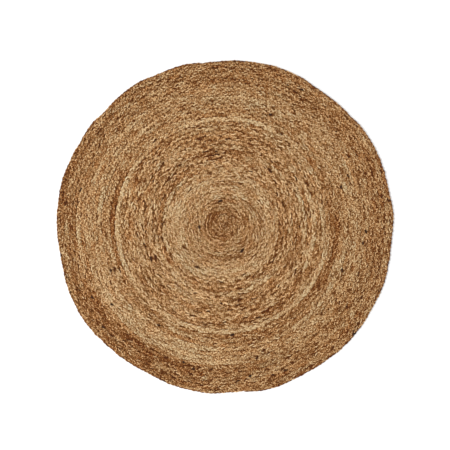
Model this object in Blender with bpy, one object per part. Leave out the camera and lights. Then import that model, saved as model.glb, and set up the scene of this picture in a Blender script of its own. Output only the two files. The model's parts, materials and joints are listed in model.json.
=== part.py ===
"""Round jute rug: one long flat braid of three strands, coiled edge to edge into a disc.

The braid starts at the middle and winds outwards, clockwise as seen from above, and its thinned
end is tucked in at the rim. The rug lies flat with +Z up, its underside at z = 0 and the middle of
its outline at the origin. Each turn of the braid is a row with a raised, flat-topped back and a
groove on either side. Lengths are in metres.
"""

import math
from typing import NamedTuple

import bmesh
import bpy
from mathutils import Vector

MM = 0.001

# The coil. A turn counts once round from the middle, so turn 39.75 is the braid's end.
TURNS = 39.75
COIL_RADIUS = 606 * MM
ROW_WIDTH = COIL_RADIUS / TURNS
ROW_WIDTH_SWING = 1.55 * MM  # rows are this much wider half-way out, and narrower at both ends
TAIL_ANGLE = 277.0  # degrees counter-clockwise from +X, where the braid ends

# The braid's end, drawn in narrower and lower over its last stretch.
TAIL_STRETCH = 0.035  # turns
TAIL_NARROWING = 9.5 * MM
TAIL_LOWERING = 2.0 * MM

# A row's section, from its inner groove over two shoulders to its outer groove.
BRAID_THICKNESS = 9.0 * MM
GROOVE_DEPTH = 2.8 * MM
INNER_SHOULDER = 0.27  # share of the row's width
OUTER_SHOULDER = 0.73


class Wave(NamedTuple):
    height: float
    radians_per_turn: float
    phase: float


# The hand-made braid is a little thicker here and there along its length.
THICKNESS_WAVES = (
    Wave(height=0.25 * MM, radians_per_turn=2.6, phase=0.0),
    Wave(height=0.15 * MM, radians_per_turn=9.1, phase=1.0),
)

# The rim's rounded side, which stands out at mid-height and turns in under the rug.
RIM_BULGE = 1.2 * MM
RIM_BULGE_HEIGHT = 3.8 * MM
RIM_UNDERCUT = 1.0 * MM

START_TURN = 0.25  # the braid's first section, just off the coil's middle


class Zone(NamedTuple):
    until_turn: float
    points_per_turn: int


# Each turn has more points further out, so that every row is equally round.
ZONES = (
    Zone(until_turn=3.0, points_per_turn=12),
    Zone(until_turn=10.0, points_per_turn=24),
    Zone(until_turn=TURNS - 1.0, points_per_turn=48),
    Zone(until_turn=TURNS, points_per_turn=96),
)


class RimPlace(NamedTuple):
    angle: float  # degrees counter-clockwise from +X
    out: float  # millimetres that the rim stands out from the even coil


# Where the hand-sewn rim wanders out and in.
RIM_PLACES = (
    RimPlace(5, 4.0),
    RimPlace(12, 0.0),
    RimPlace(26, 5.5),
    RimPlace(35, 4.5),
    RimPlace(42, -3.0),
    RimPlace(57, -7.0),
    RimPlace(62, -1.5),
    RimPlace(71, -1.0),
    RimPlace(80, -5.5),
    RimPlace(97, -12.5),
    RimPlace(103, -5.5),
    RimPlace(114, -7.0),
    RimPlace(121, -0.5),
    RimPlace(129, -2.5),
    RimPlace(136, -8.0),
    RimPlace(142, 0.0),
    RimPlace(150, -3.0),
    RimPlace(155, 0.0),
    RimPlace(164, 3.5),
    RimPlace(176, 1.5),
    RimPlace(192, -3.5),
    RimPlace(204, 6.0),
    RimPlace(213, 8.0),
    RimPlace(230, 1.0),
    RimPlace(242, -2.5),
    RimPlace(254, 4.0),
    RimPlace(265, 6.5),
    RimPlace(273, 1.5),
    RimPlace(277, 0.5),
    RimPlace(283, 2.5),
    RimPlace(289, -2.5),
    RimPlace(297, -4.5),
    RimPlace(307, -2.5),
    RimPlace(313, 1.5),
    RimPlace(324, 3.0),
    RimPlace(331, 1.0),
    RimPlace(339, 3.5),
    RimPlace(354, -2.5),
)
WANDER_FADE = 4  # the wandering fades towards the middle with this power of the turn

JUTE_COLOUR = (0.345, 0.190, 0.082, 1.0)
JUTE_ROUGHNESS = 0.92
SHARP_ANGLE = 50.0  # degrees between faces, above which an edge isn't shaded smooth


def clear_scene():
    """Remove whatever objects the scene starts with."""
    for item in list(bpy.data.objects):
        bpy.data.objects.remove(item, do_unlink=True)


def smooth_step(share):
    """Ease from 0 to 1 as share goes from 0 to 1, level at both ends."""
    share = min(max(share, 0.0), 1.0)
    return share * share * (3.0 - 2.0 * share)


def angle_at(turn):
    """The braid's direction from the middle at a turn, in degrees counter-clockwise from +X."""
    return TAIL_ANGLE + (TURNS - turn) * 360.0


def rim_wander(angle):
    """How far the rim stands out from the even coil at an angle, eased between the rim's places."""
    after = next((k for k, place in enumerate(RIM_PLACES) if place.angle > angle), 0)
    low = RIM_PLACES[after - 1]
    high = RIM_PLACES[after]
    gap = (high.angle - low.angle) % 360.0
    share = smooth_step(((angle - low.angle) % 360.0) / gap)
    return (low.out + (high.out - low.out) * share) * MM


def tail_share(turn):
    """0 along the whole braid, easing to 1 at its very end."""
    return smooth_step(1.0 - (TURNS - turn) / TAIL_STRETCH)


def edge_radius(turn):
    """The distance from the coil's middle to the braid's outer edge at a turn."""
    if turn <= 0.0:
        return 0.0
    phase = 2.0 * math.pi * turn / TURNS
    even = ROW_WIDTH * turn - ROW_WIDTH_SWING * TURNS / (2.0 * math.pi) * math.sin(phase)
    wander = rim_wander(angle_at(turn) % 360.0) * (turn / TURNS) ** WANDER_FADE
    return even + wander - TAIL_NARROWING * tail_share(turn)


def crest_height(turn):
    """The height of the row's back, which wanders a little and sinks at the tail."""
    waves = (w.height * math.sin(w.radians_per_turn * turn + w.phase) for w in THICKNESS_WAVES)
    return BRAID_THICKNESS + sum(waves) - TAIL_LOWERING * tail_share(turn)


def row_point(turn, across):
    """A point on the row at a turn, across from 0 at its inner groove to 1 at its outer groove."""
    inner = edge_radius(turn - 1.0)
    radius = inner + (edge_radius(turn) - inner) * across
    angle = math.radians(angle_at(turn))
    on_groove = across in (0.0, 1.0)
    height = BRAID_THICKNESS - GROOVE_DEPTH if on_groove else crest_height(turn)
    return Vector((radius * math.cos(angle), radius * math.sin(angle), height))


def turns_along_braid():
    """The turns at which the braid gets a section, from its start at the middle to its tail."""
    turns = [START_TURN]
    for zone in ZONES:
        first = round(turns[-1] * zone.points_per_turn) + 1
        last = round(zone.until_turn * zone.points_per_turn)
        turns += [k / zone.points_per_turn for k in range(first, last + 1)]
    return turns


def line_along_braid(mesh, turns, across):
    """A line of (turn, vertex) pairs that follows the braid at one place across it."""
    return [(turn, mesh.verts.new(row_point(turn, across))) for turn in turns]


def fill_between(mesh, inner, outer):
    """Fill between two lines of (turn, vertex) pairs, stepping along whichever line is behind."""
    i = 0
    j = 0
    while i + 1 < len(inner) or j + 1 < len(outer):
        inner_next = inner[i + 1][0] if i + 1 < len(inner) else math.inf
        outer_next = outer[j + 1][0] if j + 1 < len(outer) else math.inf
        if inner_next <= outer_next:
            mesh.faces.new((inner[i][1], inner[i + 1][1], outer[j][1]))
            i += 1
        else:
            mesh.faces.new((inner[i][1], outer[j + 1][1], outer[j][1]))
            j += 1


def wind_top(mesh):
    """Raise the coiled rows of the top, and return the loop of vertices round their rim."""
    turns = turns_along_braid()
    middle = mesh.verts.new((0.0, 0.0, BRAID_THICKNESS - GROOVE_DEPTH))
    inner_shoulder = line_along_braid(mesh, turns, INNER_SHOULDER)
    outer_shoulder = line_along_braid(mesh, turns, OUTER_SHOULDER)
    edge = line_along_braid(mesh, turns, 1.0)
    start = [
        (0.0, middle),
        (1.0 + INNER_SHOULDER * START_TURN, inner_shoulder[0][1]),
        (1.0 + OUTER_SHOULDER * START_TURN, outer_shoulder[0][1]),
    ]
    neighbour = [(turn + 1.0, vert) for turn, vert in edge if turn <= TURNS - 1.0]
    fill_between(mesh, start + neighbour, inner_shoulder)
    fill_between(mesh, inner_shoulder, outer_shoulder)
    fill_between(mesh, outer_shoulder, edge)
    rim = [vert for turn, vert in edge if turn >= TURNS - 1.0]
    return rim + [outer_shoulder[-1][1], inner_shoulder[-1][1]]


def outward_normals(loop):
    """Level unit vectors that point out of a loop of vertices that runs clockwise."""
    normals = []
    for k, vert in enumerate(loop):
        before = (vert.co - loop[k - 1].co).xy.normalized()
        after = (loop[(k + 1) % len(loop)].co - vert.co).xy.normalized()
        along = (before + after).normalized()
        normals.append(Vector((-along.y, along.x, 0.0)))
    return normals


def offset_loop(mesh, loop, normals, out, height):
    """A copy of the loop, moved out by a distance and set at a height."""
    moved = []
    for vert, normal in zip(loop, normals):
        place = vert.co + normal * out
        moved.append(mesh.verts.new((place.x, place.y, height)))
    return moved


def join_loops(mesh, upper, lower):
    """Join two loops that have as many vertices, with a band of quads."""
    for k in range(len(upper)):
        mesh.faces.new((upper[k - 1], upper[k], lower[k], lower[k - 1]))


def round_the_rim(mesh, rim):
    """Close the rug below its top: the bulging side, the turned-in foot and the flat underside."""
    normals = outward_normals(rim)
    bulge = offset_loop(mesh, rim, normals, RIM_BULGE, RIM_BULGE_HEIGHT)
    foot = offset_loop(mesh, rim, normals, -RIM_UNDERCUT, 0.0)
    join_loops(mesh, rim, bulge)
    join_loops(mesh, bulge, foot)
    mesh.faces.new(foot)


def centre_outline(mesh):
    """Move the mesh so that the middle of its outline's box is at the origin."""
    xs = [vert.co.x for vert in mesh.verts]
    ys = [vert.co.y for vert in mesh.verts]
    middle = Vector(((min(xs) + max(xs)) / 2.0, (min(ys) + max(ys)) / 2.0, 0.0))
    bmesh.ops.translate(mesh, verts=mesh.verts, vec=-middle)


def jute_material():
    """Natural jute: warm tan, dull and dry."""
    material = bpy.data.materials.new("jute")
    material.use_nodes = True
    shader = material.node_tree.nodes["Principled BSDF"]
    shader.inputs["Base Color"].default_value = JUTE_COLOUR
    shader.inputs["Roughness"].default_value = JUTE_ROUGHNESS
    shader.inputs["Metallic"].default_value = 0.0
    return material


def build_coiled_braid():
    """The whole rug as one closed solid."""
    mesh = bmesh.new()
    rim = wind_top(mesh)
    round_the_rim(mesh, rim)
    bmesh.ops.triangulate(mesh, faces=mesh.faces)
    bmesh.ops.recalc_face_normals(mesh, faces=mesh.faces)
    centre_outline(mesh)
    data = bpy.data.meshes.new("coiled_braid")
    mesh.to_mesh(data)
    mesh.free()
    data.materials.append(jute_material())
    data.shade_smooth()
    data.set_sharp_from_angle(angle=math.radians(SHARP_ANGLE))
    rug = bpy.data.objects.new("coiled_braid", data)
    bpy.context.scene.collection.objects.link(rug)
    return rug


def main():
    clear_scene()
    build_coiled_braid()


main()
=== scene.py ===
"""Round jute rug: the finished look of one long three-strand braid, coiled edge to edge.

The file is laid out as a Blender add-on and is run as a script. The rug's sizes and colours are
properties, each group of pieces has its own operator, and a panel in the sidebar lists them. The
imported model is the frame: the rug lies flat with +Z up, its underside at z = 0 and the middle of
its outline at the origin.

Lengths are in metres. Angles are in degrees counter-clockwise from +X, unless a name says
otherwise. A turn counts once round the coil from its middle, so the braid's last turn ends at the
rim. A strand's swing is its own angle in the braid, in radians: it grows by a full circle for each
plait, in which the strand goes once from edge to edge and back.
"""

import json
import math

import bpy
import numpy as np
from bpy.props import FloatProperty, FloatVectorProperty, PointerProperty
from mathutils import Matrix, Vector

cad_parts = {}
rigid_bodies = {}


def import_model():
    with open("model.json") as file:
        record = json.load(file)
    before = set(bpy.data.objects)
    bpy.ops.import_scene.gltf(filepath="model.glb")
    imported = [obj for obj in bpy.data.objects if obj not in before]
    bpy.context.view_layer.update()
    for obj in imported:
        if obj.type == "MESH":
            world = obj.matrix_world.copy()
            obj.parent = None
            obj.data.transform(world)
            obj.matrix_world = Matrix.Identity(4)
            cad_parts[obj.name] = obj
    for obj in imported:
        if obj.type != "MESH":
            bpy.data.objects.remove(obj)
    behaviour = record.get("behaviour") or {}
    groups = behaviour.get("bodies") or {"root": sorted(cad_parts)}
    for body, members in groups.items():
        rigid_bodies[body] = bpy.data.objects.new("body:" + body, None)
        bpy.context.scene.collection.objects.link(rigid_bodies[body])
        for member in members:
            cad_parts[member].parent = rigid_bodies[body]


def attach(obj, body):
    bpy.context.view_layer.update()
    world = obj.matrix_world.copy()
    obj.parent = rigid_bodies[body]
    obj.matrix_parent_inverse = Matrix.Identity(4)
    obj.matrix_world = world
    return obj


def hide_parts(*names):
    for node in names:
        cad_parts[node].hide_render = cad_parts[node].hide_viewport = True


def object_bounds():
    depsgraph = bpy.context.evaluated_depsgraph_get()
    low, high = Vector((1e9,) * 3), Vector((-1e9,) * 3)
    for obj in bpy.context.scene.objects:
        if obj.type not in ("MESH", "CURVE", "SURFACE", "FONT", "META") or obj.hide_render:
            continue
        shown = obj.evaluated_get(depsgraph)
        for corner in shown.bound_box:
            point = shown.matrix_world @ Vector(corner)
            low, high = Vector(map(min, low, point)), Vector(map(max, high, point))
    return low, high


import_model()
CAD_LOW, CAD_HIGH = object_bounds()

bl_info = {
    "name": "Round Jute Rug",
    "version": (1, 0, 0),
    "blender": (4, 5, 0),
    "location": "3D View > Sidebar > Rug",
    "description": "Coils a plaited jute braid into a round rug",
    "category": "Add Mesh",
}

MM = 0.001
FULL_CIRCLE = 2.0 * math.pi
RUG_NODE = "coiled_braid"
RUG_BODY = "root"

# The photograph's frame, which looks straight down.
PICTURE_PIXELS = 450
PIXEL = 3.576 * MM  # what one pixel shows
PICTURE_RISE = 2.0  # pixels by which the picture's middle lies above the rug's

# The coil, as the solid has it.
COIL_TURNS = 39.75
COIL_RADIUS = 606 * MM
THICKEST = 0.38 * MM  # the braid's thickest place is this much over its usual thickness
TAIL_ANGLE = 277.0  # where on the rim the braid ends
ROW_WIDTH_SWING = 1.55 * MM  # rows are this much wider half-way out, and narrower at both ends
TAIL_STRETCH = 0.035  # turns over which the braid's end is drawn in
TAIL_NARROWING = 9.5 * MM
TAIL_LOWERING = 2.0 * MM
WANDER_FADE = 4  # the rim's wandering fades towards the middle with this power of the turn
START_TURN = 0.3  # where the braid's first end lies

# Where the hand-sewn rim wanders: (angle, millimetres out from the even coil).
RIM_PLACES = (
    (5, 4.0), (12, 0.0), (26, 5.5), (35, 4.5), (42, -3.0), (57, -7.0), (62, -1.5), (71, -1.0),
    (80, -5.5), (97, -12.5), (103, -5.5), (114, -7.0), (121, -0.5), (129, -2.5), (136, -8.0),
    (142, 0.0), (150, -3.0), (155, 0.0), (164, 3.5), (176, 1.5), (192, -3.5), (204, 6.0),
    (213, 8.0), (230, 1.0), (242, -2.5), (254, 4.0), (265, 6.5), (273, 1.5), (277, 0.5),
    (283, 2.5), (289, -2.5), (297, -4.5), (307, -2.5), (313, 1.5), (324, 3.0), (331, 1.0),
    (339, 3.5), (354, -2.5),
)

# The braid is a little thicker here and there: (height, radians per turn, phase).
THICKNESS_WAVES = ((0.25 * MM, 2.6, 0.0), (0.15 * MM, 9.1, 1.0))

# How evenly the braid is plaited.
PLAIT_CHANGE_TURN = 23.5  # from here on the plaits get shorter,
PLAIT_CHANGE_TURNS = 6.0  # over this many turns
PLAIT_UNEVENNESS = 0.06  # share of a plait's length
PLAIT_SPACING = 0.35  # along the braid, between longer and shorter plaits
LOBE_WIDTH_UNEVENNESS = 0.09  # share of a strand's width
LOBE_HEIGHT_UNEVENNESS = 0.30 * MM  # how much lower some lobes lie than the others
LOBE_SHIFT_UNEVENNESS = 0.6 * MM  # how far a lobe lies from its place across the braid
ROW_UNEVENNESS = 0.8 * MM  # how far the seam between two rows strays
ROW_SPACING = 90 * MM  # along the braid, between the places where it strays
STRAY_START = 3.0  # it strays in full after this many turns, and not at all at the rim
SWAY = 1.2  # how long a strand stays near the braid's edge before it crosses
DIVE = 0.8  # how long a strand stays on top or underneath before it dives or rises

# How unevenly the yarns are coloured, in steps of the shades and of the hue.
HUE_LIMIT = 2.0  # the hue goes from minus this, in the cool tint, to this, in the warm one
SLOW_SHADE = 0.15  # each yarn changes slowly along its length,
SLOW_SPACING = 0.9
QUICK_SHADE = 0.1  # and a little more quickly
QUICK_SPACING = 0.16
LOBE_SHADE = 0.65  # how much one lobe differs from the next, where the yarn is mixed as usual
LOBE_SKEW = 0.25  # how much further the dark lobes stand out than the light ones
PAIR_SHADE = 0.75  # how much a strand's two yarns differ from each other, lobe by lobe
BARK_SHADE = 6.0  # a few lobes still hold bits of bark, and are darker by up to this
BARK_RARITY = 2.1  # they are the lobes whose normal number is past this
BARK_START = -3.5  # past this shade the yarn turns to the colour of bark,
BARK_END = -5.5  # and here it has it in full
DIVE_PAINTED_SHADE = 1.4  # painted shade: how much darker a strand's side gets as far as the others cover it
RIM_PAINTED_SHADE = 0.8  # painted shade: how much darker the outer side of the braid's last edge is
RUN_SHADE = 0.22  # runs of the whole braid are lighter or darker by this,
RUN_HUE = 0.25  # and redder or greyer by this
RUN_SPACING = 160 * MM
HUE_BY_SHADE = -0.8  # darker stretches are redder and paler ones more yellow,
GREYER_TURNS = 8.0  # but less so in these first turns
PATCH_SHADE = 0.2  # short patches of all three strands are darker by this,
PATCH_HUE = 0.5  # and redder by this
PATCH_SPACING = 24 * MM
SLOW_HUE = 0.1  # each yarn's hue changes slowly along its length,
SLOW_HUE_SPACING = 0.5
LOBE_HUE = 0.1  # and this much from lobe to lobe
STRANDS_APART = 10.0  # along the noise, so that no two strands are alike
YARNS_MEET = 0.3 * MM  # to either side of a strand's middle, its yarns' shades blend
GAP_PAINTED_SHADE = 1.5  # painted shade: darker in the crevice between a strand's two yarns, from and to these distances from its middle
GAP_START = 0.1 * MM
GAP_END = 0.9 * MM
EDGE_PAINTED_SHADE = 0.5  # painted shade: darker along a strand's edges, where they curve down, likewise
EDGE_START = 2.8 * MM
EDGE_END = 4.2 * MM
PLY_PAINTED_SHADING = 1.3  # painted light and shade: each yarn's plies show as slanting ridges, this much lighter on their crests and darker in their grooves
PLY_LENGTH = 7.4 * MM  # from ridge to ridge along the yarn
PLY_LEAN = 20.0 * MM  # from ridge to ridge across it
PLY_LOOSENESS = 2.0  # how far uneven twisting shifts the ridges, in ridges
LOOSE_ALONG = 25 * MM  # the size of the places where the twisting is uneven
LOOSE_ACROSS = 5 * MM
YARN_TWIST = 24.0  # degrees between a yarn's fibres and its way
TUFT_SHADE = 2.15  # from the darkest tufts of fibre to the palest
TUFT_ALONG = 12.0 * MM  # their size along the twist and across it
TUFT_ACROSS = 2.2 * MM
TUFT_LOW = -0.17  # noise below this makes the darkest tufts,
TUFT_HIGH = 0.13  # and above this the palest
TUFT_MIDDLE = 0.57  # how far from dark to pale a tuft of the yarn's own shade is
BUNDLE_SHADE = 3.0  # bundles of fibre within the tufts
BUNDLE_ALONG = 12 * MM
BUNDLE_ACROSS = 1.3 * MM
FIBRE_SHADE = 3.2  # the single fibres
FIBRE_ALONG = 8 * MM
FIBRE_ACROSS = 0.35 * MM
FIBRE_DETAIL = 3.0
FIBRE_ROUGHNESS = 0.6

# The yarn's surface.
JUTE_ROUGHNESS = 0.85
JUTE_GLOSS = 0.1
TUFT_RELIEF = 0.4  # how high tufts and fibres stand, as shares of the bundles
FIBRE_RELIEF = 0.7
RELIEF_STRENGTH = 0.8
RELIEF_DEPTH = 0.9 * MM

# How finely the pieces are made.
TABLE_STEPS = 60001  # places in the coil's tables
RINGS_PER_PLAIT = 9
TOP_CROWDING = 0.45  # how much closer together a strand's rings are where it lies on top
TIGHT_RADIUS = 12 * MM  # nearer the middle than this, rings crowd together
HEART_RINGS_PER_TURN = 96

STRANDS = 3
STRAND_NAME = "strand_"
SPLICE_TURN = 28.4  # each strand is two lengths of yarn, spliced under the braid near this turn,
SPLICE_REACH = 0.1  # and within this many turns of it
END_SIZE = 0.5  # a length's end rings are this share of their full size

# The flat maps for finished textures: a ring's usual length and a side's, for an even scale.
STRAND_CELL = (5.0 * MM, 2.3 * MM)
HEART_CELL = (20 * MM, 5 * MM)
MAP_GAP = 0.03  # share of a cell that stays free along each of its edges
MAP_DISC = 0.4  # radius of an end polygon, as a share of its cell

# A strand's section: two yarns side by side, as shares of half its width and half its thickness.
STRAND_SECTION = (
    (-0.62, -0.86), (0.62, -0.86), (1.0, 0.05), (0.84, 0.68), (0.48, 1.0), (0.0, 0.50),
    (-0.48, 1.0), (-0.84, 0.68), (-1.0, 0.05),
)
# The heart's section: (share of half the row's width, share of half the heart's thickness).
HEART_SECTION = ((-0.5, -1.0), (0.5, -1.0), (1.03, 0.0), (0.5, 1.0), (-0.5, 1.0), (-1.03, 0.0))
HEART_THICKNESS = 2.4 * MM  # the heart lies half-way up the braid
HEART_START_TURN = 0.05  # it starts nearer the middle than the strands, and fills the eye,
HEART_END = 0.01  # and ends this many turns before them
HEART_RIM_INSET = 0.25  # share of half the row's width by which it stays back at the rim
HEART_PAINTED_SHADE = -0.8  # painted shade: it is darker than the strands, for the bottom of the grooves

# Shares of half a circle of swing.
LOBE_MIDDLE = 0.75  # where a lobe lies highest on the braid
LOBE_HELD = 0.25  # how far to either side of that its number is held

SEED = 20

# The broad bands of darker and paler yarn, in steps of the colours below: (turn, shade).
SHADE_BY_TURN = (
    (0.0, -0.7), (2.0, -0.5), (4.0, -0.2), (6.0, 0.2), (10.5, 0.4), (12.0, 0.95), (13.5, 0.8),
    (15.0, 0.1), (27.0, 0.05), (29.0, 0.4), (32.0, 0.45), (33.0, 0.05), (35.0, -0.25),
    (39.75, -0.25),
)
# Stretches of darker or paler yarn that stand out: (from turn, to turn, change of shade).
YARN_STRETCHES = (
    (1.35, 1.6, -0.5), (4.1, 4.2, -0.7), (5.0, 5.2, -0.7), (6.3, 6.4, 0.6), (8.65, 8.85, -0.5),
    (9.3, 9.4, 0.6), (11.2, 11.45, -0.5), (14.5, 14.65, -0.7), (16.05, 16.3, -0.4),
    (16.85, 17.0, 0.6), (17.1, 17.3, -0.4), (17.75, 18.0, 0.4), (18.1, 18.35, -0.6),
    (19.4, 19.55, 0.6), (21.4, 21.6, 0.7), (22.6, 22.8, -0.5), (23.35, 23.55, 0.5),
    (24.55, 25.4, 0.8), (24.95, 25.1, 0.5), (25.2, 25.35, 0.5), (25.5, 25.7, -0.5),
    (25.95, 26.1, -0.7), (26.5, 26.6, -0.8), (26.75, 26.85, 0.7), (28.65, 29.05, 0.4),
    (29.8, 30.0, 0.3), (30.75, 31.0, 0.3), (31.75, 32.05, 0.4), (33.8, 33.9, -0.7),
    (33.95, 34.05, 0.6), (34.8, 34.95, -0.8), (36.85, 36.95, -0.6), (37.8, 37.95, -0.6),
    (38.4, 38.6, 0.5),
)
STRETCH_END = 0.03  # turns over which a stretch's shade comes and goes
# How mixed the yarn is, lobe by lobe: (turn, share of the usual).
MIXED_BY_TURN = (
    (0.0, 1.2), (4.5, 0.9), (6.0, 0.65), (13.0, 0.65), (14.5, 1.35), (24.3, 1.3), (24.6, 0.6),
    (25.4, 0.6), (25.7, 0.9), (33.0, 0.85), (35.0, 1.2), (39.75, 1.2),
)

# The stage: the lamp hangs to the left of the rug and points at its middle.
FLOOR_ROUGHNESS = 0.9
LAMP_SIZE = 3.2
LAMP_PLACE = (-3.8, -0.8, 4.4)


def ease(share):
    """Go from 0 to 1 as share does, level at both ends: 3 share^2 - 2 share^3."""
    share = np.clip(share, 0.0, 1.0)
    return share * share * (3.0 - 2.0 * share)


def unevenness(place, spacing, chance):
    """Smooth chance variation: a normal number at every spacing along a length, eased between."""
    at = (place - place.min()) / spacing
    low = np.floor(at).astype(int)
    knots = chance.standard_normal(low.max() + 2)
    return knots[low] + (knots[low + 1] - knots[low]) * ease(at - low)


def dwell(wave, strength):
    """Square a wave up, so that it dwells near -1 and 1: tanh(strength wave) / tanh(strength)."""
    return np.tanh(strength * wave) / math.tanh(strength)


def by_lobe(swing, chance):
    """A normal number for each lobe, held where it shows and eased to the next underneath."""
    at = swing / math.pi - LOBE_MIDDLE
    at = at - math.floor(at.min())
    low = np.floor(at).astype(int)
    knots = chance.standard_normal(low.max() + 2)
    share = ease((at - low - LOBE_HELD) / (1.0 - 2.0 * LOBE_HELD))
    return knots[low] + (knots[low + 1] - knots[low]) * share


class Coil:
    """The spiral that the braid follows, as fine tables from its start to its tail."""

    def __init__(self, braid):
        """Find the length, the plaits and the rings up to each turn by adding small steps."""
        self.braid = braid
        self.turn = np.linspace(START_TURN, braid.turns, TABLE_STEPS)
        self.stray = np.zeros(TABLE_STEPS)
        inner, outer = self.row_edges(self.turn)
        middle = (inner + outer) / 2.0
        angle = np.radians(self.angle_at(self.turn))
        step = np.hypot(np.diff(middle), middle[1:] * np.diff(angle))
        self.length = np.concatenate([[0.0], np.cumsum(step)])
        chance = np.random.default_rng(SEED)
        fade = ease(self.turn / STRAY_START) * ease(braid.turns - 1.0 - self.turn)
        self.stray = ROW_UNEVENNESS * fade * unevenness(self.length, ROW_SPACING, chance)
        shorter = ease((self.turn - PLAIT_CHANGE_TURN) / PLAIT_CHANGE_TURNS)
        plait = braid.inner_plait + (braid.outer_plait - braid.inner_plait) * shorter
        plait *= 1.0 + PLAIT_UNEVENNESS * unevenness(self.length, PLAIT_SPACING, chance)
        self.plaits = np.concatenate([[0.0], np.cumsum(step / plait[1:])])
        crowding = np.hypot(1.0, TIGHT_RADIUS / middle[1:])
        rings = np.cumsum(np.diff(self.plaits) * crowding) * RINGS_PER_PLAIT
        self.rings = np.concatenate([[0.0], rings])
        self.patch = unevenness(self.length, PATCH_SPACING, chance)
        self.run = unevenness(self.length, RUN_SPACING, chance)
        self.warmth = unevenness(self.length, RUN_SPACING, chance)
        self.centre = self.outline_middle()

    def angle_at(self, turn):
        """The braid's direction from the coil's middle at a turn; it winds out clockwise."""
        return TAIL_ANGLE + (self.braid.turns - turn) * 360.0

    def tail_share(self, turn):
        """0 along the whole braid, easing to 1 at its very end."""
        return ease(1.0 - (self.braid.turns - turn) / TAIL_STRETCH)

    def rim_wander(self, angle):
        """How far the rim stands out from the even coil, eased between the rim's places."""
        angles, outs = np.array(RIM_PLACES).T
        after = np.searchsorted(angles, angle, side="right") % len(angles)
        gap = (angles[after] - angles[after - 1]) % 360.0
        share = ease(((angle - angles[after - 1]) % 360.0) / gap)
        return (outs[after - 1] + (outs[after] - outs[after - 1]) * share) * MM

    def edge_radius(self, turn):
        """The radius of the braid's outer edge: a spiral of even rows, less a slow sine that
        makes the rows half-way out wider, plus the rim's wandering, faded towards the middle."""
        turn = np.maximum(turn, 0.0)
        turns = self.braid.turns
        slow = ROW_WIDTH_SWING * turns / FULL_CIRCLE * np.sin(FULL_CIRCLE * turn / turns)
        wander = self.rim_wander(self.angle_at(turn) % 360.0) * (turn / turns) ** WANDER_FADE
        even = self.braid.radius / turns * turn - slow
        stray = np.interp(turn, self.turn, self.stray)
        return even + wander + stray - TAIL_NARROWING * self.tail_share(turn)

    def row_edges(self, turn):
        """The radius of the row's inner edge, which is the turn before's outer edge, and outer."""
        return self.edge_radius(turn - 1.0), self.edge_radius(turn)

    def outline_middle(self):
        """The middle of the box round the last turn's outer edge."""
        turn = self.turn[self.turn >= self.braid.turns - 1.0]
        angle = np.radians(self.angle_at(turn))
        edge = self.edge_radius(turn) * np.stack([np.cos(angle), np.sin(angle)])
        return (edge.min(axis=1) + edge.max(axis=1)) / 2.0

    def thickness(self, turn):
        """The braid's thickness: the usual one, plus slow sines, less what sinks at the tail."""
        waves = sum(height * np.sin(pace * turn + phase) for height, pace, phase in THICKNESS_WAVES)
        return self.braid.thickness + waves - TAIL_LOWERING * self.tail_share(turn)

    def points(self, turn, along, out, height):
        """Points beside the row's middle line, at a distance along, a distance out and a height:
        its radius plus out, in its direction, plus along, square to that and clockwise."""
        inner, outer = self.row_edges(turn)
        angle = np.radians(self.angle_at(turn))
        radius = (inner + outer) / 2.0 + out
        x = radius * np.cos(angle) + along * np.sin(angle) - self.centre[0]
        y = radius * np.sin(angle) - along * np.cos(angle) - self.centre[1]
        return np.stack([x, y, height * np.ones_like(x)], axis=-1)


def strand_path(coil, strand):
    """The turns and the swing of one strand's rings.

    The rings passed grow evenly with the swing, plus a share of cos(2 swing), which brings them
    closer together where the strand lies on top and parts them where it lies underneath.
    """
    swing = FULL_CIRCLE * (coil.plaits + strand / STRANDS)
    shift = RINGS_PER_PLAIT / FULL_CIRCLE * TOP_CROWDING / 2.0 * np.cos(2.0 * swing)
    passed = coil.rings + shift
    rings = np.arange(math.ceil(passed[0]), passed[-1])
    turn = np.interp(rings, passed, coil.turn)
    return turn, np.interp(turn, coil.turn, swing)


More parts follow.
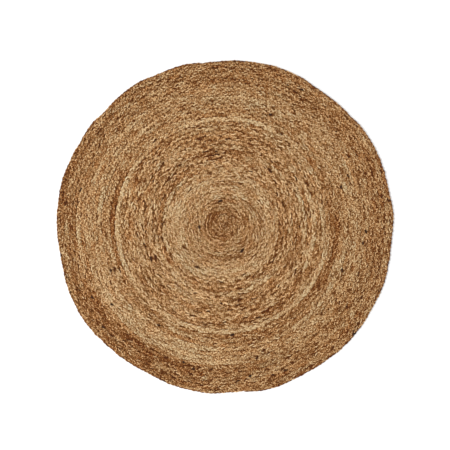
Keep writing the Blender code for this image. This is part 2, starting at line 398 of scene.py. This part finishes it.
def strand_skin(coil, strand):
    """One strand's skin as rings of points, with what its material needs.

    The strand's middle lies at out = reach dwell(sin(swing)) and height = middle -
    lift dwell(sin(2 swing)), so it passes over the other two from either edge to the middle, and
    under them on its way back out. Round it, each ring is the section of two yarns side by side,
    set square to the strand's way in plan. A lobe is what shows of one pass over, and each
    differs a little in width, height and place.

    A point's place is its way along the strand, aside and up. Its tones are the outer yarn's
    shade and the inner one's, then their hues. To each yarn's own shade come the charted one, the
    runs of the braid, the difference between the two yarns, and what is darker: the patches and
    the bark, and painted shade along the rim and on the strand's upper or lower side as far as it
    lies under the others.
    """
    braid = coil.braid
    turn, swing = strand_path(coil, strand)
    chance = np.random.default_rng(SEED + 1 + strand)
    inner, outer = coil.row_edges(turn)
    room = (outer - inner) / braid.row_width
    half_width = braid.strand_width / 2.0 * room
    reach = (outer - inner) / 2.0 - half_width * (1.0 - braid.squeeze)
    half_width = half_width * (1.0 + LOBE_WIDTH_UNEVENNESS * by_lobe(swing, chance))
    thickness = coil.thickness(turn)
    half_thickness = braid.strand_thickness / 2.0 * thickness / braid.thickness
    lift = thickness / 2.0 - half_thickness
    sway = reach * dwell(np.sin(swing), SWAY)
    out = sway + LOBE_SHIFT_UNEVENNESS * by_lobe(swing, chance) * room
    over = -dwell(np.sin(2.0 * swing), DIVE)
    height = thickness / 2.0 + lift * over
    height -= LOBE_HEIGHT_UNEVENNESS * np.abs(by_lobe(swing, chance)) * np.maximum(over, 0.0)
    length = np.interp(turn, coil.turn, coil.length)
    slope = np.gradient(sway) / np.gradient(length)
    square = np.hypot(1.0, slope)
    aside_share, up_share = np.array(STRAND_SECTION).T
    aside = half_width[:, None] * aside_share
    up = half_thickness[:, None] * up_share
    points = coil.points(
        turn[:, None],
        -aside * (slope / square)[:, None],
        out[:, None] + aside / square[:, None],
        height[:, None] + up,
    )
    along = np.cumsum(np.hypot(np.gradient(length), np.gradient(sway))) + STRANDS_APART * strand
    place = np.stack(np.broadcast_arrays(along[:, None], aside, up), axis=-1)
    shades = np.stack([yarn_shade(turn, length, swing, chance) for yarn in range(2)], axis=-1)
    apart = PAIR_SHADE * by_lobe(swing, chance)
    shades += np.stack([apart, -apart], axis=-1)
    hues = np.stack([yarn_hue(length, swing, chance) for yarn in range(2)], axis=-1)
    patch = np.interp(turn, coil.turn, coil.patch)[:, None]
    dyed = charted_shade(turn)[:, None] + RUN_SHADE * np.interp(turn, coil.turn, coil.run)[:, None]
    # painted shade along the outer side of the braid's last turn
    rim = ease((turn - braid.turns + 1.0) / STRETCH_END) * ease(sway / reach)
    shades += dyed - PATCH_SHADE * patch - RIM_PAINTED_SHADE * rim[:, None]
    hues += PATCH_HUE * patch + HUE_BY_SHADE * dyed * ease(turn / GREYER_TURNS)[:, None]
    hues += RUN_HUE * np.interp(turn, coil.turn, coil.warmth)[:, None]
    shades -= BARK_SHADE * np.clip(by_lobe(swing, chance) - BARK_RARITY, 0.0, 1.0)[:, None]
    tones = np.concatenate([shades, hues], axis=-1)
    tones = np.repeat(tones[:, None, :], len(STRAND_SECTION), axis=1)
    # painted shade on the side of the strand that lies under the others
    shown = over[:, None] * np.where(up_share < 0.0, -1.0, 1.0)
    tones[..., :2] -= DIVE_PAINTED_SHADE * (1.0 - shown[..., None]) / 2.0
    return turn, swing, points, place, tones


def charted_shade(turn):
    """The yarn's shade along the braid: straight lines between the chart's points, plus the change
    of each stretch it lies in, which is eased in and out about the stretch's ends."""
    turns, shades = np.array(SHADE_BY_TURN).T
    shade = np.interp(turn, turns, shades)
    for start, end, change in YARN_STRETCHES:
        comes = ease((turn - start) / STRETCH_END + 0.5)
        goes = ease((end - turn) / STRETCH_END + 0.5)
        shade = shade + change * comes * goes
    return shade


def yarn_shade(turn, length, swing, chance):
    """A yarn's own share of its shade: slow and quicker changes, plus each lobe's own.

    A lobe's is its normal number n, less a share of n^2 - 1, times how mixed the yarn is there.
    """
    slow = SLOW_SHADE * unevenness(length, SLOW_SPACING, chance)
    quick = QUICK_SHADE * unevenness(length, QUICK_SPACING, chance)
    mixed = LOBE_SHADE * np.interp(turn, *np.array(MIXED_BY_TURN).T)
    lobe = by_lobe(swing, chance)
    lobe = lobe - LOBE_SKEW * (lobe * lobe - 1.0)
    return slow + quick + mixed * lobe


def yarn_hue(length, swing, chance):
    """A yarn's own share of its hue: slow changes, plus each lobe's own."""
    slow = SLOW_HUE * unevenness(length, SLOW_HUE_SPACING, chance)
    return slow + LOBE_HUE * by_lobe(swing, chance)


def new_piece(name, points, faces):
    """A mesh object at the origin from an array of points and arrays of faces, shaded smooth."""
    corners = np.concatenate([face.ravel() for face in faces])
    sizes = np.concatenate([np.full(len(face), face.shape[1]) for face in faces])
    mesh = bpy.data.meshes.new(name)
    mesh.vertices.add(len(points))
    mesh.vertices.foreach_set("co", points.astype(np.float32).ravel())
    mesh.loops.add(len(corners))
    mesh.loops.foreach_set("vertex_index", corners.astype(np.int32))
    mesh.polygons.add(len(sizes))
    mesh.polygons.foreach_set("loop_start", (np.cumsum(sizes) - sizes).astype(np.int32))
    mesh.update(calc_edges=True)
    if mesh.validate():
        raise RuntimeError(f"{name}: the mesh had faults")
    mesh.shade_smooth()
    piece = bpy.data.objects.new(name, mesh)
    bpy.context.scene.collection.objects.link(piece)
    return piece


def tube_faces(rings, sides):
    """The quads between neighbouring rings of a tube, and the polygons that close its ends."""
    ring = np.arange(rings - 1)[:, None] * sides
    side = np.arange(sides)[None, :]
    after = (side + 1) % sides
    quads = np.stack([ring + side, ring + after, ring + after + sides, ring + side + sides], -1)
    first = np.arange(sides)[None, ::-1]
    last = (rings - 1) * sides + np.arange(sides)[None, :]
    return [quads.reshape(-1, 4), first, last]


def tube_map(rings, sides, ring_length, side_length):
    """A flat map of a tube for finished textures: a cell for each ring, in rows in a square.

    There are as many columns as keep the map's scale alike along and round the tube, and a small
    gap parts the cells. After the last ring and an empty cell, the end polygons take a cell each.
    """
    cells = rings + 3
    columns = math.ceil(math.sqrt(cells * sides * side_length / ring_length))
    rows = math.ceil(cells / columns)
    ring = np.arange(rings - 1)
    row = (ring // columns)[:, None, None]
    column = (ring % columns)[:, None, None]
    side = np.arange(sides)[None, :, None]
    across = np.array([0, 1, 1, 0])
    onward = np.array([0, 0, 1, 1])
    filled = 1.0 - 2.0 * MAP_GAP
    u = (column + MAP_GAP + filled * onward) / columns
    v = (row + MAP_GAP + filled * (side + across) / sides) / rows
    quads = np.stack(np.broadcast_arrays(u, v), axis=-1).reshape(-1, 2)
    angle = FULL_CIRCLE * np.arange(sides) / sides
    disc = 0.5 + MAP_DISC * np.stack([np.cos(angle), np.sin(angle)], axis=-1)
    ends = [
        (disc + [cell % columns, cell // columns]) / [columns, rows]
        for cell in (rings, rings + 1)
    ]
    return np.concatenate([quads, *ends])


def finish_piece(piece, flat_map, place, tones, material):
    """Give a piece its texture map, its yarns' place, shades and hues, material and body."""
    mesh = piece.data
    layer = mesh.uv_layers.new(name="OFBake")
    layer.uv.foreach_set("vector", flat_map.astype(np.float32).ravel())
    held = mesh.attributes.new("yarn_place", "FLOAT_VECTOR", "POINT")
    held.data.foreach_set("vector", place.astype(np.float32).ravel())
    held = mesh.attributes.new("yarn_tones", "FLOAT_COLOR", "POINT")
    held.data.foreach_set("color", tones.astype(np.float32).ravel())
    mesh.materials.append(material)
    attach(piece, RUG_BODY)
    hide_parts(RUG_NODE)


class Value:
    """A node's output. Arithmetic on it adds Math nodes, so shading reads as plain sums."""

    def __init__(self, nodes, socket):
        self.nodes = nodes
        self.socket = socket

    def math(self, operation, *values, clamp=False):
        """The result of a Math node with this operation on these values."""
        settings = {"operation": operation, "use_clamp": clamp}
        return self.nodes.add("ShaderNodeMath", settings, dict(enumerate(values)))

    def __add__(self, other):
        return self.math("ADD", self, other)

    __radd__ = __add__

    def __sub__(self, other):
        return self.math("SUBTRACT", self, other)

    def __rsub__(self, other):
        return self.math("SUBTRACT", other, self)

    def __mul__(self, other):
        return self.math("MULTIPLY", self, other)

    __rmul__ = __mul__

    def between(self, low, high):
        """0 below low and 1 above high, even between."""
        return self.math("MULTIPLY", self - low, 1.0 / (high - low), clamp=True)

    def size(self):
        """The value without its sign."""
        return self.math("ABSOLUTE", self)

    def wave(self):
        """The sine of the value, counted in full circles."""
        return self.math("SINE", self * FULL_CIRCLE)

    def output(self, number):
        """Another output of the same node."""
        return Value(self.nodes, self.socket.node.outputs[number])


class Nodes:
    """A material's node tree, to which one method adds every node."""

    def __init__(self, name):
        self.material = bpy.data.materials.new(name)
        self.material.use_nodes = True
        self.tree = self.material.node_tree
        self.shader = self.tree.nodes["Principled BSDF"]

    def add(self, kind, settings=None, sockets=None, output=0):
        """Add a node of a kind, set its settings, then set or link its sockets."""
        node = self.tree.nodes.new(kind)
        for name, value in (settings or {}).items():
            if name == "stops":
                self.set_stops(node.color_ramp, value)
            else:
                setattr(node, name, value)
        for name, value in (sockets or {}).items():
            self.put(node.inputs[name], value)
        return Value(self, node.outputs[output])

    def set_stops(self, ramp, stops):
        """Give a ramp its stops, as (position, colour) pairs."""
        while len(ramp.elements) < len(stops):
            ramp.elements.new(1.0)
        for element, (position, colour) in zip(ramp.elements, stops):
            element.position = position
            element.color = (*colour, 1.0)

    def put(self, socket, value):
        """Link a Value to a socket, or set the socket to a plain value."""
        if isinstance(value, Value):
            self.tree.links.new(value.socket, socket)
        else:
            socket.default_value = value

    def mix(self, share, first, second, blend="MIX"):
        """The first colour, blended with the second by a share from 0 to 1.

        For colours, the Mix node's inputs are its sockets 6 and 7, and its result is socket 2.
        """
        settings = {"data_type": "RGBA", "blend_type": blend, "clamp_factor": True}
        return self.add("ShaderNodeMix", settings, {0: share, 6: first, 7: second}, output=2)

    def streaks(self, place, along, across, detail=2.0, roughness=0.5):
        """Noise around 0 over a place, drawn out to a size along it and a size across."""
        stretch = {0: place, 1: (1.0 / along, 1.0 / across, 1.0 / across)}
        drawn = self.add("ShaderNodeVectorMath", {"operation": "MULTIPLY"}, stretch)
        sockets = {"Vector": drawn, "Scale": 1.0, "Detail": detail, "Roughness": roughness}
        return self.add("ShaderNodeTexNoise", None, sockets) - 0.5


def jute_material(colours, name="jute_yarn"):
    """Dry jute: five natural shades from dark brown to cream, and bits of bark, in twisted fibres.

    The shade at a point is that of the yarn on its side of the strand, plus noise at the scales
    of a tuft, of a bundle and of a fibre, plus a slanting wave of painted light and shade for the
    plies' ridges, less painted shade in the crevice between the two yarns and along the strand's
    edges. A step of shade is the way from one colour to the next, with tan at 0. Far below dark
    brown, the colour is bark. The hue's tint multiplies it.
    Tufts, bundles and fibres are noise drawn out along the twist t: along cos t + aside sin t,
    aside cos t - along sin t. They are the surface's relief too.
    """
    nodes = Nodes(name)
    place = nodes.add("ShaderNodeAttribute", {"attribute_name": "yarn_place"}, output=1)
    tones = nodes.add("ShaderNodeAttribute", {"attribute_name": "yarn_tones"})
    split = nodes.add("ShaderNodeSeparateColor", None, {0: tones})
    outer_shade, inner_shade, outer_hue = (split.output(number) for number in range(3))
    inner_hue = tones.output(3)  # the fourth tone, which the node gives as alpha
    parts = nodes.add("ShaderNodeSeparateXYZ", None, {0: place})
    along, aside, up = (parts.output(number) for number in range(3))
    cos_twist = math.cos(math.radians(YARN_TWIST))
    sin_twist = math.sin(math.radians(YARN_TWIST))
    twisted = nodes.add("ShaderNodeCombineXYZ", None, {
        0: along * cos_twist + aside * sin_twist, 1: aside * cos_twist - along * sin_twist, 2: up,
    })

    tuft = nodes.streaks(twisted, TUFT_ALONG, TUFT_ACROSS)
    tuft = tuft.between(TUFT_LOW, TUFT_HIGH) - TUFT_MIDDLE
    bundle = nodes.streaks(twisted, BUNDLE_ALONG, BUNDLE_ACROSS)
    fibre = nodes.streaks(twisted, FIBRE_ALONG, FIBRE_ACROSS, FIBRE_DETAIL, FIBRE_ROUGHNESS)
    outward = aside.between(-YARNS_MEET, YARNS_MEET)
    shade = inner_shade + outward * (outer_shade - inner_shade)
    hue = inner_hue + outward * (outer_hue - inner_hue)
    # painted shade in the crevice between the two yarns
    gap = 1.0 - aside.size().between(GAP_START, GAP_END)
    # painted shade along the strand's edges, where they curve down
    edge = aside.size().between(EDGE_START, EDGE_END)
    loose = PLY_LOOSENESS * nodes.streaks(place, LOOSE_ALONG, LOOSE_ACROSS, detail=0.0)
    # painted light and shade of the plies' slanting ridges
    painted_ply_shading = (along * (1.0 / PLY_LENGTH) + aside.size() * (1.0 / PLY_LEAN) + loose).wave()
    mottle = TUFT_SHADE * tuft + PLY_PAINTED_SHADING * painted_ply_shading + BUNDLE_SHADE * bundle + FIBRE_SHADE * fibre
    total = shade + mottle - GAP_PAINTED_SHADE * gap - EDGE_PAINTED_SHADE * edge

    steps = (colours.dark, colours.brown, colours.tan, colours.light, colours.cream)
    stops = [((step + 0.5) / len(steps), colour) for step, colour in enumerate(steps)]
    ramp_place = total.between(-len(steps) / 2.0, len(steps) / 2.0)
    colour = nodes.add("ShaderNodeValToRGB", {"stops": stops}, {0: ramp_place})
    colour = nodes.mix(total.between(BARK_START, BARK_END), colour, (*colours.bark, 1.0))
    warmth = hue.between(-HUE_LIMIT, HUE_LIMIT)
    tint = nodes.mix(warmth, (*colours.cool_tint, 1.0), (*colours.warm_tint, 1.0))
    colour = nodes.mix(1.0, colour, tint, blend="MULTIPLY")

    relief = TUFT_RELIEF * tuft + bundle + FIBRE_RELIEF * fibre
    bump = {"Strength": RELIEF_STRENGTH, "Distance": RELIEF_DEPTH, "Height": relief}
    inputs = nodes.shader.inputs
    nodes.put(inputs["Base Color"], colour)
    nodes.put(inputs["Roughness"], JUTE_ROUGHNESS)
    nodes.put(inputs["Specular IOR Level"], JUTE_GLOSS)
    nodes.put(inputs["Normal"], nodes.add("ShaderNodeBump", None, bump))
    return nodes.material


def plait_strands(braid, colours):
    """The three strands, each in two lengths spliced where it lies under the braid.

    The splice is at the ring that lies lowest near the splice's turn. Each length goes on for a
    ring past it, and its end rings are drawn in towards their middles.
    """
    coil = Coil(braid)
    material = jute_material(colours)
    sides = len(STRAND_SECTION)
    for strand in range(STRANDS):
        turn, swing, points, place, tones = strand_skin(coil, strand)
        near = np.abs(turn - SPLICE_TURN) < SPLICE_REACH
        splice = int(np.argmin(np.where(near, -np.sin(2.0 * swing), np.inf)))
        spans = {"inner": (0, splice + 2), "outer": (splice - 1, len(turn))}
        for length_name, (first, last) in spans.items():
            rings = points[first:last].copy()
            middles = rings.mean(axis=1, keepdims=True)
            rings[[0, -1]] = (middles + (rings - middles) * END_SIZE)[[0, -1]]
            count = last - first
            name = f"{STRAND_NAME}{strand + 1}_{length_name}"
            piece = new_piece(name, rings.reshape(-1, 3), tube_faces(count, sides))
            flat_map = tube_map(count, sides, *STRAND_CELL)
            finish_piece(piece, flat_map, place[first:last], tones[first:last], material)


def lay_heart(braid, colours):
    """The yarn pressed flat inside the braid, which shows at the bottom of the grooves.

    It is a flat six-sided section in the middle of the braid's thickness, as wide as the row and
    carried along it. Round the last turn its outer side stays back from the rim. It is coloured
    darker than the strands, as painted shade at the bottom of the grooves.
    """
    coil = Coil(braid)
    rings = int((braid.turns - HEART_START_TURN) * HEART_RINGS_PER_TURN)
    turn = np.linspace(HEART_START_TURN, braid.turns - HEART_END, rings)
    inner, outer = coil.row_edges(turn)
    out_share, up_share = np.array(HEART_SECTION).T
    half_width = (outer - inner)[:, None] / 2.0
    middle = coil.thickness(turn)[:, None] / 2.0
    out = half_width * out_share
    last_turn = turn > braid.turns - 1.0
    out[last_turn] -= HEART_RIM_INSET * half_width[last_turn] * (out_share > 0.0)
    height = middle + HEART_THICKNESS / 2.0 * up_share
    points = coil.points(turn[:, None], 0.0, out, height)
    sides = len(HEART_SECTION)
    piece = new_piece("braid_heart", points.reshape(-1, 3), tube_faces(rings, sides))
    length = np.interp(turn, coil.turn, coil.length)[:, None]
    place = np.stack(np.broadcast_arrays(length, out, height), axis=-1)
    # painted shade for the bottom of the grooves
    shade = charted_shade(turn) + HEART_PAINTED_SHADE
    hue = np.zeros_like(shade)
    tones = np.stack([shade, shade, hue, hue], axis=-1)
    tones = np.broadcast_to(tones[:, None, :], (rings, sides, 4))
    flat_map = tube_map(rings, sides, *HEART_CELL)
    finish_piece(piece, flat_map, place, tones, jute_material(colours, "jute_in_the_grooves"))


class BraidSettings(bpy.types.PropertyGroup):
    """The sizes of the coil, of the braid and of its strands."""

    turns: FloatProperty(
        name="Turns", description="How many times the braid goes round",
        default=COIL_TURNS, min=2.0,
    )
    radius: FloatProperty(
        name="Coil Radius", description="The even coil's radius, before the rim wanders",
        default=COIL_RADIUS, min=0.1, subtype="DISTANCE", unit="LENGTH",
    )
    row_width: FloatProperty(
        name="Row Width", description="The braid's usual width",
        default=COIL_RADIUS / COIL_TURNS, min=0.005, subtype="DISTANCE", unit="LENGTH",
    )
    thickness: FloatProperty(
        name="Thickness", description="The braid's usual thickness",
        default=round(CAD_HIGH.z - THICKEST, 4), min=0.002, subtype="DISTANCE", unit="LENGTH",
    )
    inner_plait: FloatProperty(
        name="Inner Plait", description="The length of one plait in the inner turns",
        default=56 * MM, min=0.01, subtype="DISTANCE", unit="LENGTH",
    )
    outer_plait: FloatProperty(
        name="Outer Plait", description="The length of one plait in the outer turns",
        default=44 * MM, min=0.01, subtype="DISTANCE", unit="LENGTH",
    )
    strand_width: FloatProperty(
        name="Strand Width", description="The width of one flattened strand",
        default=8.2 * MM, min=0.002, subtype="DISTANCE", unit="LENGTH",
    )
    strand_thickness: FloatProperty(
        name="Strand Thickness", description="The thickness of one flattened strand",
        default=4.1 * MM, min=0.001, subtype="DISTANCE", unit="LENGTH",
    )
    squeeze: FloatProperty(
        name="Squeeze", description="How far neighbouring rows are pressed into each other",
        default=0.16, min=0.0, max=0.5, subtype="FACTOR",
    )


def colour_property(name, description, default):
    """A colour that the user may change, given in linear red, green and blue."""
    return FloatVectorProperty(
        name=name, description=description, default=default, min=0.0, max=1.0, subtype="COLOR",
    )


class YarnColours(bpy.types.PropertyGroup):
    """The shades of natural jute, from dark to cream."""

    bark: colour_property("Bark", "Bits of bark left in the yarn", (0.035, 0.020, 0.013))
    dark: colour_property("Dark", "Dark brown", (0.095, 0.024, 0.004))
    brown: colour_property("Brown", "Reddish brown", (0.250, 0.100, 0.026))
    tan: colour_property("Tan", "The usual yarn", (0.420, 0.232, 0.088))
    light: colour_property("Light Tan", "Light golden yarn", (0.600, 0.378, 0.190))
    cream: colour_property("Cream", "The palest yarn", (0.775, 0.563, 0.327))
    warm_tint: colour_property("Warm Tint", "Multiplies the most orange yarn", (1.0, 0.85, 0.70))
    cool_tint: colour_property("Cool Tint", "Multiplies the greyest yarn", (0.79, 0.87, 0.92))


class StageSettings(bpy.types.PropertyGroup):
    """The floor, the lights and the camera."""

    floor_size: FloatProperty(
        name="Floor Size", description="The floor's side", default=9.0, min=2.0,
        subtype="DISTANCE", unit="LENGTH",
    )
    floor_colour: colour_property("Floor Colour", "A plain pale floor", (0.9, 0.9, 0.9))
    sky: FloatProperty(
        name="Surrounding Light", description="Even light from all round", default=0.9, min=0.0,
    )
    lamp: FloatProperty(
        name="Lamp", description="The large soft lamp's power", default=240.0, min=0.0,
        subtype="POWER", unit="POWER",
    )
    view_width: FloatProperty(
        name="View Width", description="How much floor the picture shows from side to side",
        default=PICTURE_PIXELS * PIXEL, min=0.5, subtype="DISTANCE", unit="LENGTH",
    )
    lens: FloatProperty(
        name="Lens", description="The camera's focal length", default=50.0, min=10.0,
        subtype="DISTANCE_CAMERA", unit="CAMERA",
    )


class RUG_OT_plait_strands(bpy.types.Operator):
    """Plait the three strands and coil the braid into the rug"""

    bl_idname = "rug.plait_strands"
    bl_label = "Plait Strands"

    def execute(self, context):
        scene = context.scene
        plait_strands(scene.rug_braid, scene.rug_colours)
        return {"FINISHED"}


class RUG_OT_lay_heart(bpy.types.Operator):
    """Lay the pressed yarn inside the braid, after its strands are plaited"""

    bl_idname = "rug.lay_heart"
    bl_label = "Lay Heart"

    def execute(self, context):
        scene = context.scene
        strands = [piece for piece in scene.objects if piece.name.startswith(STRAND_NAME)]
        if len(strands) != 2 * STRANDS:
            raise RuntimeError("the heart is laid once, after the strands are plaited")
        lay_heart(scene.rug_braid, scene.rug_colours)
        return {"FINISHED"}


class RUG_OT_set_stage(bpy.types.Operator):
    """Set up the floor, the soft light and the camera above the rug"""

    bl_idname = "rug.set_stage"
    bl_label = "Set Stage"

    def execute(self, context):
        set_stage(context.scene.rug_stage)
        return {"FINISHED"}


def set_stage(stage):
    """A plain pale floor, even light with one large soft lamp, and a camera straight above."""
    scene = bpy.context.scene
    corners = np.array([(-1.0, -1.0, 0.0), (1.0, -1.0, 0.0), (1.0, 1.0, 0.0), (-1.0, 1.0, 0.0)])
    floor = new_piece("floor", stage.floor_size / 2.0 * corners, [np.arange(4)[None, :]])
    nodes = Nodes("pale_floor")
    nodes.put(nodes.shader.inputs["Base Color"], (*stage.floor_colour, 1.0))
    nodes.put(nodes.shader.inputs["Roughness"], FLOOR_ROUGHNESS)
    floor.data.materials.append(nodes.material)

    world = bpy.data.worlds.new("soft_surroundings")
    world.use_nodes = True
    background = world.node_tree.nodes["Background"]
    background.inputs["Color"].default_value = (1.0, 1.0, 1.0, 1.0)
    background.inputs["Strength"].default_value = stage.sky
    scene.world = world

    lamp = bpy.data.lights.new("soft_lamp", "AREA")
    lamp.shape = "DISK"
    lamp.size = LAMP_SIZE
    lamp.energy = stage.lamp
    held = bpy.data.objects.new("soft_lamp", lamp)
    held.location = LAMP_PLACE
    held.rotation_euler = (-Vector(held.location)).to_track_quat("-Z", "Y").to_euler()
    scene.collection.objects.link(held)

    camera = bpy.data.cameras.new("camera")
    camera.lens = stage.lens
    height = stage.view_width * stage.lens / camera.sensor_width
    seen_from = bpy.data.objects.new("camera", camera)
    seen_from.location = (0.0, PICTURE_RISE * PIXEL, height)
    scene.collection.objects.link(seen_from)
    scene.camera = seen_from
    scene.view_settings.view_transform = "Standard"


class RUG_PT_panel(bpy.types.Panel):
    """The rug's settings and the steps that make it"""

    bl_label = "Rug"
    bl_space_type = "VIEW_3D"
    bl_region_type = "UI"
    bl_category = "Rug"

    def draw(self, context):
        for title, settings in (
            ("Braid", context.scene.rug_braid),
            ("Colours", context.scene.rug_colours),
            ("Stage", context.scene.rug_stage),
        ):
            box = self.layout.box()
            box.label(text=title)
            for name in settings.__annotations__:
                box.prop(settings, name)
        for operator in (RUG_OT_plait_strands, RUG_OT_lay_heart, RUG_OT_set_stage):
            self.layout.operator(operator.bl_idname)


CLASSES = (
    BraidSettings,
    YarnColours,
    StageSettings,
    RUG_OT_plait_strands,
    RUG_OT_lay_heart,
    RUG_OT_set_stage,
    RUG_PT_panel,
)


def register():
    """Add the classes, and hang the settings on the scene."""
    for kind in CLASSES:
        bpy.utils.register_class(kind)
    bpy.types.Scene.rug_braid = PointerProperty(type=BraidSettings)
    bpy.types.Scene.rug_colours = PointerProperty(type=YarnColours)
    bpy.types.Scene.rug_stage = PointerProperty(type=StageSettings)


def unregister():
    """Take the settings and the classes away again."""
    del bpy.types.Scene.rug_stage
    del bpy.types.Scene.rug_colours
    del bpy.types.Scene.rug_braid
    for kind in reversed(CLASSES):
        bpy.utils.unregister_class(kind)


def main():
    """Add the classes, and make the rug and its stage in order."""
    register()
    bpy.ops.rug.plait_strands()
    bpy.ops.rug.lay_heart()
    bpy.ops.rug.set_stage()


if __name__ == "__main__":
    main()
